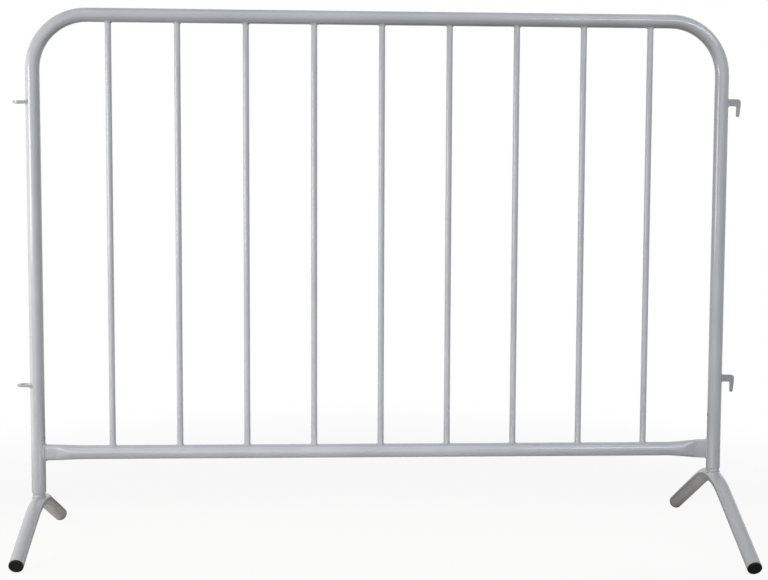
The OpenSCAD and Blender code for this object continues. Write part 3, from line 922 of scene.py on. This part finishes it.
class BARRIER_OT_stage(bpy.types.Operator):
    """Lays the pale floor, sets the soft lamps and the white surroundings, and places the camera"""

    bl_idname = "barrier.stage"
    bl_label = "Stage"

    warm, cool, plain = (1.0, 0.985, 0.965), (0.97, 0.99, 1.0), (1.0, 1.0, 1.0)
    # Name, place, where it points, width, height, radiance, colour, spread in degrees if narrowed
    lamps = [
        ("left_window", (-1.60, -0.12, 0.65), (-0.7, 0.0, 0.5), 1.00, 1.30, 1.35,
         (1.0, 0.985, 0.96)),
        ("left_softbox", (-1.74, -0.97, 0.86), (0.0, 0.0, 0.7), 0.80, 0.66, 6.8, warm),
        ("low_softbox", (-0.80, -1.90, 0.45), (-0.1, 0.0, 0.0), 2.40, 0.90, 0.32, warm, 80.0),
        ("right_panel_lamp", (1.34, -2.60, 1.75), (0.4, 0.0, 0.4), 1.20, 0.36, 9.0,
         (0.91, 0.96, 1.0)),
        ("front_softbox", (0.10, -2.90, 2.00), (0.0, 0.0, 0.5), 3.40, 2.40, 0.60, cool),
        ("right_high_lamp", (1.63, -1.11, 1.83), (0.66, 0.0, 0.25), 0.60, 0.45, 6.0,
         (0.95, 0.98, 1.0)),
        ("floor_card", (0.00, -0.48, 0.06), (0.0, 0.0, 0.22), 1.10, 0.12, 1.6,
         (1.0, 0.99, 0.97)),
        ("top_softbox", (0.00, -1.00, 2.50), (0.0, 0.0, 0.6), 2.40, 1.00, 1.2, cool),
        ("back_softbox", (0.30, 2.60, 2.20), (0.0, 0.0, 0.5), 2.00, 1.40, 0.55, plain),
    ]
    floor_size = 60.0
    shadow_near, shadow_far = 0.9, 1.9  # the floor's shadows fade out between these
    white_share = 0.93  # share of plain white that the camera sees on the floor near the object
    pale_near, pale_far = 0.18, 0.48  # between these the floor goes over to throwing less light
    pale_stretch = (0.25, 1.0, 1.0)  # the pale zone reaches four times as far along the panel
    past_shade = 0.2  # share of its tone that the floor keeps past the pale zone
    sensor_width = 36.0

    def execute(self, context):
        settings = context.scene.barrier_stage
        self.lay_floor(settings)
        self.light_world(context, settings)
        for lamp in self.lamps:
            self.hang_lamp(*lamp)
        deselect_all()
        bpy.ops.object.camera_add(location=settings.camera_place, rotation=settings.camera_turn)
        camera = context.object
        camera.name = "camera"
        camera.data.sensor_fit = "HORIZONTAL"
        camera.data.sensor_width = self.sensor_width
        camera.data.lens = settings.camera_lens
        camera.data.dof.use_dof = False
        context.scene.camera = camera
        context.scene.view_settings.view_transform = "Standard"
        return {"FINISHED"}

    def rays(self, tree):
        """Two values: 1 for rays from the camera, and 1 for reflected and refracted rays."""
        kinds = [tree.node("ShaderNodeLightPath", {}, {}, output=name)
                 for name in ("Is Camera Ray", "Is Glossy Ray", "Is Transmission Ray")]
        return kinds[0], kinds[1] + kinds[2]

    def lay_floor(self, settings):
        """A pale floor that is white to the camera but keeps the object's shadow."""
        floor = start_piece("floor", bpy.ops.mesh.primitive_plane_add, size=self.floor_size)
        material, tree = new_material("pale_floor")
        place = tree.place()
        far = tree.between(tree.reach(place), self.shadow_near, self.shadow_far)
        grain = tree.between(tree.noise(place, 35.0, 3.0), 0.3, 0.7)
        tone = tree.mix(grain, shaded(settings.floor), shaded(settings.floor, 0.985))
        beside = tree.reach(tree.stretched(place, self.pale_stretch))
        tone = tree.mix(tree.between(beside, self.pale_near, self.pale_far), tone,
                        shaded(settings.floor, self.past_shade))
        matt = tree.node("ShaderNodeBsdfDiffuse", {}, {"Color": tone})
        white = tree.node("ShaderNodeEmission", {}, {"Color": shaded(self.plain), "Strength": 1.0})
        direct, reflected = self.rays(tree)
        share_white = direct * (self.white_share + far * (1.0 - self.white_share)) + reflected * far
        mixed = tree.node("ShaderNodeMixShader", {}, {0: share_white, 1: matt, 2: white})
        tree.node("ShaderNodeOutputMaterial", {}, {"Surface": mixed})
        floor.data.materials.append(material)

    def light_world(self, context, settings):
        """Soft fill light all round, white to the camera and in reflections."""
        world = bpy.data.worlds.new("studio")
        context.scene.world = world
        world.use_nodes = True
        world.node_tree.nodes.clear()
        tree = Tree(world.node_tree.nodes, world.node_tree.links)
        fill, white = (
            tree.node("ShaderNodeBackground", {}, {"Color": shaded(tone), "Strength": 1.0})
            for tone in (settings.fill, self.plain))
        direct, reflected = self.rays(tree)
        mixed = tree.node("ShaderNodeMixShader", {}, {0: direct + reflected, 1: fill, 2: white})
        tree.node("ShaderNodeOutputWorld", {}, {"Surface": mixed})

    def hang_lamp(self, name, place, target, width, tall, radiance, tone, spread=180.0):
        """A soft rectangular lamp that the camera doesn't see."""
        deselect_all()
        aim = (Vector(target) - Vector(place)).to_track_quat("-Z", "Y").to_euler()
        bpy.ops.object.light_add(type="AREA", location=place, rotation=aim)
        lamp = bpy.context.object
        lamp.name = name
        lamp.data.shape = "RECTANGLE"
        lamp.data.size = width
        lamp.data.size_y = tall
        lamp.data.energy = radiance * math.pi * width * tall
        lamp.data.color = tone
        lamp.data.spread = math.radians(spread)
        lamp.visible_camera = False


OPERATORS = (
    BARRIER_OT_finishes,
    BARRIER_OT_bottom_rail,
    BARRIER_OT_bar_welds,
    BARRIER_OT_rail_welds,
    BARRIER_OT_eyes,
    BARRIER_OT_hooks,
    BARRIER_OT_spigot_welds,
    BARRIER_OT_stage,
)
SETTINGS = {
    "barrier_finish": BarrierFinishSettings,
    "barrier_rail": BarrierRailSettings,
    "barrier_plate": BarrierPlateSettings,
    "barrier_weld": BarrierWeldSettings,
    "barrier_stage": BarrierStageSettings,
}


class BARRIER_PT_panel(bpy.types.Panel):
    """Lists the pieces of the barrier panel"""

    bl_idname = "BARRIER_PT_panel"
    bl_label = "Pedestrian Barrier Panel"
    bl_space_type = "VIEW_3D"
    bl_region_type = "UI"
    bl_category = "Barrier"

    def draw(self, context):
        for operator in OPERATORS:
            self.layout.operator(operator.bl_idname)
        for name, group in SETTINGS.items():
            box = self.layout.box()
            box.label(text=group.__doc__)
            for setting in group.__annotations__:
                box.prop(getattr(context.scene, name), setting)


def register():
    for group in SETTINGS.values():
        bpy.utils.register_class(group)
    for operator in OPERATORS:
        bpy.utils.register_class(operator)
    bpy.utils.register_class(BARRIER_PT_panel)
    for name, group in SETTINGS.items():
        setattr(bpy.types.Scene, name, PointerProperty(type=group))


def unregister():
    for name in SETTINGS:
        delattr(bpy.types.Scene, name)
    bpy.utils.unregister_class(BARRIER_PT_panel)
    for operator in reversed(OPERATORS):
        bpy.utils.unregister_class(operator)
    for group in reversed(list(SETTINGS.values())):
        bpy.utils.unregister_class(group)


def main():
    """Builds the pieces and the stage."""
    register()
    bpy.ops.barrier.finishes()
    bpy.ops.barrier.bottom_rail()
    bpy.ops.barrier.bar_welds()
    bpy.ops.barrier.rail_welds()
    bpy.ops.barrier.eyes()
    bpy.ops.barrier.hooks()
    bpy.ops.barrier.spigot_welds()
    bpy.ops.barrier.stage()
    deselect_all()


if __name__ == "__main__":
    main()
